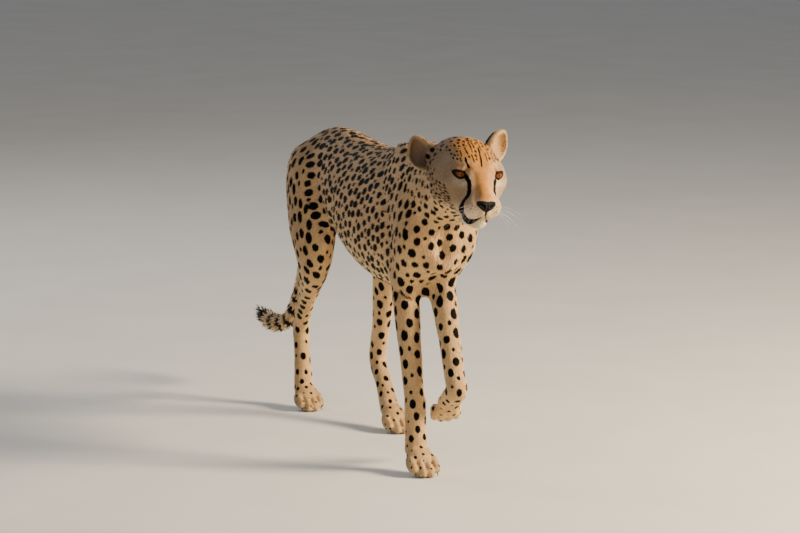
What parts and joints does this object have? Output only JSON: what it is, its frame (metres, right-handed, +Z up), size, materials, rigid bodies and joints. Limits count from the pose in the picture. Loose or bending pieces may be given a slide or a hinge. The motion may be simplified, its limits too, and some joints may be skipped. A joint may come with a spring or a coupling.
{
  "type": "cheetah",
  "caption": "Life-size cheetah at a slow walk: spotted coat, slim body, deep chest, small head with tear lines, long tail, a forepaw lifted in mid-stride.",
  "frame": {"origin": "centre of the bounding box on the floor, between the paws", "axes": "-Y towards the head, +X towards the animal's left side, +Z up"},
  "size_m": [0.2398, 1.6568, 0.7804],
  "materials": {
    "head": "short fur over skin",
    "neck": "short fur over skin",
    "trunk": "short fur over skin",
    "tail": "short fur over skin",
    "foreleg_left": "short fur over skin",
    "foreleg_right": "short fur over skin",
    "hind_leg_left": "short fur over skin",
    "hind_leg_right": "short fur over skin",
    "ear_left": "short fur over skin",
    "ear_right": "short fur over skin",
    "eye_left": "wet and clear",
    "eye_right": "wet and clear"
  },
  "bodies": {
    "root": {"head": "head", "neck": "neck", "trunk": "trunk", "tail": "tail", "foreleg_left": "foreleg_left", "foreleg_right": "foreleg_right", "hind_leg_left": "hind_leg_left", "hind_leg_right": "hind_leg_right", "ear_left": "ear_left", "ear_right": "ear_right", "eye_left": "eye_left", "eye_right": "eye_right"}
  },
  "joints": []
}
